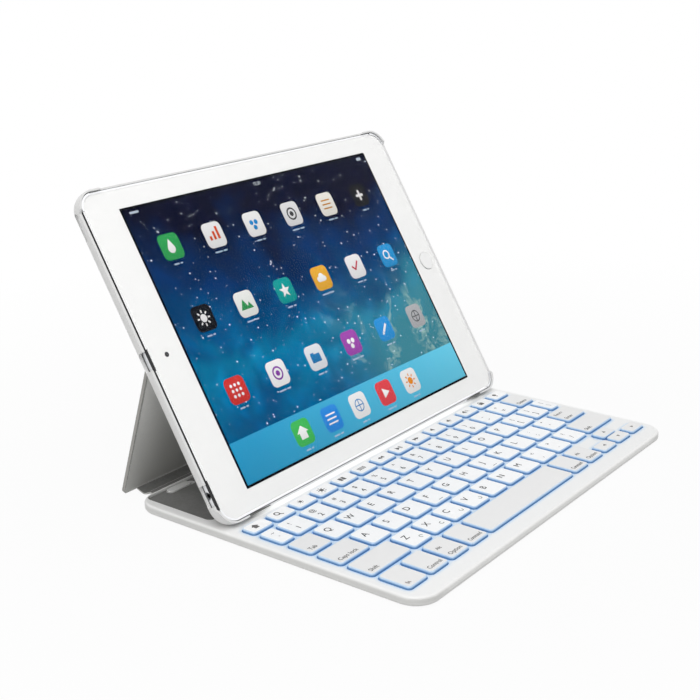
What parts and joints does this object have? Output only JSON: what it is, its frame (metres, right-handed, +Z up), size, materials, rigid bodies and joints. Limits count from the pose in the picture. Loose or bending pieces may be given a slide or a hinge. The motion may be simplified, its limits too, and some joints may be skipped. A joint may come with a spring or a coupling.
{
  "type": "tablet keyboard case",
  "caption": "Thin lit keyboard base with a folding stand cover and a tray shell that holds a white tablet leaning over the keys.",
  "frame": {"origin": "on the table under the middle of the keyboard base", "axes": "+Z up, +Y to the rear where the cover folds, +X to the user's right"},
  "size_m": [0.244, 0.2036, 0.1552],
  "materials": {
    "white_gloss": "gloss",
    "cover_grey": "satin",
    "outer_skin": "fine grain",
    "inner_lining": "fine weave",
    "switch_grey": "satin",
    "key_white": "satin",
    "circuit": "matt",
    "light_guide": "clear",
    "support_white": "matt",
    "dome_rubber": "matt",
    "battery_foil": "matt",
    "board_green": "satin",
    "steel": "plain",
    "stiffener": "matt",
    "silver_aluminium": "bead blasted",
    "black_rubber": "satin",
    "clear_glass": "polished",
    "border_white": "gloss",
    "display_blue": "lit picture",
    "lens_black": "polished"
  },
  "bodies": {
    "base": {"bottom_cover": "cover_grey", "base_skin": "outer_skin", "top_frame": "white_gloss", "recess_lining": "inner_lining", "key_circuit": "circuit", "light_guide": "light_guide", "key_supports": "support_white", "key_domes": "dome_rubber", "battery": "battery_foil", "controller_board": "board_green", "charging_socket": "steel", "cover_screws": "steel", "dock_magnets": "steel", "spine_anchor": "inner_lining"},
    "power_switch": {"power_switch": "switch_grey"},
    "spine": {"spine_strip": "inner_lining"},
    "flap": {"flap_skin": "outer_skin", "flap_board": "stiffener", "flap_lining": "inner_lining"},
    "crease": {"crease_strip": "outer_skin"},
    "shell": {"shell": "white_gloss", "shell_back_skin": "outer_skin", "keeper_strips": "steel"},
    "tablet": {"tablet_housing": "silver_aluminium", "tablet_gasket": "black_rubber", "tablet_glass": "clear_glass", "tablet_border": "border_white", "tablet_display": "display_blue", "tablet_cells": "battery_foil", "tablet_board": "board_green", "front_camera": "lens_black", "rear_camera": "lens_black", "headphone_socket": "lens_black"},
    "home_button": {"home_button": "border_white"},
    "sleep_button": {"sleep_button": "silver_aluminium"},
    "volume_rocker": {"volume_rocker": "silver_aluminium"},
    "function_keys": {"function_keys": "key_white"},
    "number_keys": {"number_keys": "key_white"},
    "q_row_keys": {"q_row_keys": "key_white"},
    "a_row_keys": {"a_row_keys": "key_white"},
    "z_row_keys": {"z_row_keys": "key_white"},
    "key_tilde": {"key_tilde": "key_white"},
    "key_delete": {"key_delete": "key_white"},
    "key_tab": {"key_tab": "key_white"},
    "key_backslash": {"key_backslash": "key_white"},
    "key_caps": {"key_caps": "key_white"},
    "key_enter": {"key_enter": "key_white"},
    "key_shift_left": {"key_shift_left": "key_white"},
    "key_shift_right": {"key_shift_right": "key_white"},
    "key_fn": {"key_fn": "key_white"},
    "key_control": {"key_control": "key_white"},
    "key_option": {"key_option": "key_white"},
    "key_command": {"key_command": "key_white"},
    "key_space": {"key_space": "key_white"},
    "key_command_right": {"key_command_right": "key_white"},
    "key_option_right": {"key_option_right": "key_white"},
    "key_arrow_left": {"key_arrow_left": "key_white"},
    "key_arrow_up": {"key_arrow_up": "key_white"},
    "key_arrow_down": {"key_arrow_down": "key_white"},
    "key_arrow_right": {"key_arrow_right": "key_white"}
  },
  "joints": [
    {"name": "shell_fold", "type": "hinge", "parent": "crease", "child": "shell", "pos_m": [0, 0.08121, 0.08134], "axis": [1, 0, 0], "range_deg": [-129, 0]},
    {"name": "lay_back", "type": "hinge", "parent": "spine", "child": "flap", "pos_m": [0, 0.10009, 0.00317], "axis": [1, 0, 0], "range_deg": [-103, 0]},
    {"name": "lower_crease", "type": "hinge", "parent": "flap", "child": "crease", "pos_m": [0, 0.07759, 0.07534], "axis": [1, 0, 0], "range_deg": [0, 39.01]},
    {"name": "cover_fold", "type": "hinge", "parent": "base", "child": "spine", "pos_m": [0, 0.087, 0.00255], "axis": [1, 0, 0], "range_deg": [0, 72.01]},
    {"name": "tablet_lift", "type": "slide", "parent": "shell", "child": "tablet", "axis": [0, -0.8561, 0.5168], "range_m": [0, 0.03]},
    {"name": "switch_slide", "type": "slide", "parent": "base", "child": "power_switch", "axis": [1, 0, 0], "range_m": [0, 0.003]},
    {"name": "home_press", "type": "slide", "parent": "tablet", "child": "home_button", "axis": [0, 0.8561, -0.5168], "range_m": [0, 0.0003], "stiffness_N_per_m": 800},
    {"name": "sleep_press", "type": "slide", "parent": "tablet", "child": "sleep_button", "axis": [1, 0, 0], "range_m": [0, 0.0003], "stiffness_N_per_m": 800},
    {"name": "volume_rock", "type": "hinge", "parent": "tablet", "child": "volume_rocker", "pos_m": [-0.081, 0.11522, 0.15122], "axis": [0, -0.8561, 0.5168], "range_deg": [-1, 1], "stiffness_Nm_per_rad": 0.5},
    {"name": "press_function_row", "type": "slide", "parent": "base", "child": "function_keys", "axis": [0, 0, -1], "range_m": [0, 0.0012], "stiffness_N_per_m": 400},
    {"name": "press_number_row", "type": "slide", "parent": "base", "child": "number_keys", "axis": [0, 0, -1], "range_m": [0, 0.0012], "stiffness_N_per_m": 400},
    {"name": "press_q_row", "type": "slide", "parent": "base", "child": "q_row_keys", "axis": [0, 0, -1], "range_m": [0, 0.0012], "stiffness_N_per_m": 400},
    {"name": "press_a_row", "type": "slide", "parent": "base", "child": "a_row_keys", "axis": [0, 0, -1], "range_m": [0, 0.0012], "stiffness_N_per_m": 400},
    {"name": "press_z_row", "type": "slide", "parent": "base", "child": "z_row_keys", "axis": [0, 0, -1], "range_m": [0, 0.0012], "stiffness_N_per_m": 400},
    {"name": "press_tilde", "type": "slide", "parent": "base", "child": "key_tilde", "axis": [0, 0, -1], "range_m": [0, 0.0012], "stiffness_N_per_m": 400},
    {"name": "press_delete", "type": "slide", "parent": "base", "child": "key_delete", "axis": [0, 0, -1], "range_m": [0, 0.0012], "stiffness_N_per_m": 400},
    {"name": "press_tab", "type": "slide", "parent": "base", "child": "key_tab", "axis": [0, 0, -1], "range_m": [0, 0.0012], "stiffness_N_per_m": 400},
    {"name": "press_backslash", "type": "slide", "parent": "base", "child": "key_backslash", "axis": [0, 0, -1], "range_m": [0, 0.0012], "stiffness_N_per_m": 400},
    {"name": "press_caps", "type": "slide", "parent": "base", "child": "key_caps", "axis": [0, 0, -1], "range_m": [0, 0.0012], "stiffness_N_per_m": 400},
    {"name": "press_enter", "type": "slide", "parent": "base", "child": "key_enter", "axis": [0, 0, -1], "range_m": [0, 0.0012], "stiffness_N_per_m": 400},
    {"name": "press_shift_left", "type": "slide", "parent": "base", "child": "key_shift_left", "axis": [0, 0, -1], "range_m": [0, 0.0012], "stiffness_N_per_m": 400},
    {"name": "press_shift_right", "type": "slide", "parent": "base", "child": "key_shift_right", "axis": [0, 0, -1], "range_m": [0, 0.0012], "stiffness_N_per_m": 400},
    {"name": "press_fn", "type": "slide", "parent": "base", "child": "key_fn", "axis": [0, 0, -1], "range_m": [0, 0.0012], "stiffness_N_per_m": 400},
    {"name": "press_control", "type": "slide", "parent": "base", "child": "key_control", "axis": [0, 0, -1], "range_m": [0, 0.0012], "stiffness_N_per_m": 400},
    {"name": "press_option", "type": "slide", "parent": "base", "child": "key_option", "axis": [0, 0, -1], "range_m": [0, 0.0012], "stiffness_N_per_m": 400},
    {"name": "press_command", "type": "slide", "parent": "base", "child": "key_command", "axis": [0, 0, -1], "range_m": [0, 0.0012], "stiffness_N_per_m": 400},
    {"name": "press_space", "type": "slide", "parent": "base", "child": "key_space", "axis": [0, 0, -1], "range_m": [0, 0.0012], "stiffness_N_per_m": 400},
    {"name": "press_command_right", "type": "slide", "parent": "base", "child": "key_command_right", "axis": [0, 0, -1], "range_m": [0, 0.0012], "stiffness_N_per_m": 400},
    {"name": "press_option_right", "type": "slide", "parent": "base", "child": "key_option_right", "axis": [0, 0, -1], "range_m": [0, 0.0012], "stiffness_N_per_m": 400},
    {"name": "press_arrow_left", "type": "slide", "parent": "base", "child": "key_arrow_left", "axis": [0, 0, -1], "range_m": [0, 0.0012], "stiffness_N_per_m": 400},
    {"name": "press_arrow_up", "type": "slide", "parent": "base", "child": "key_arrow_up", "axis": [0, 0, -1], "range_m": [0, 0.0012], "stiffness_N_per_m": 400},
    {"name": "press_arrow_down", "type": "slide", "parent": "base", "child": "key_arrow_down", "axis": [0, 0, -1], "range_m": [0, 0.0012], "stiffness_N_per_m": 400},
    {"name": "press_arrow_right", "type": "slide", "parent": "base", "child": "key_arrow_right", "axis": [0, 0, -1], "range_m": [0, 0.0012], "stiffness_N_per_m": 400}
  ],
  "couplings": [
    {"joint": "lower_crease", "follows": "lay_back", "ratio": -0.37864},
    {"joint": "cover_fold", "follows": "shell_fold", "ratio": -0.55814}
  ]
}
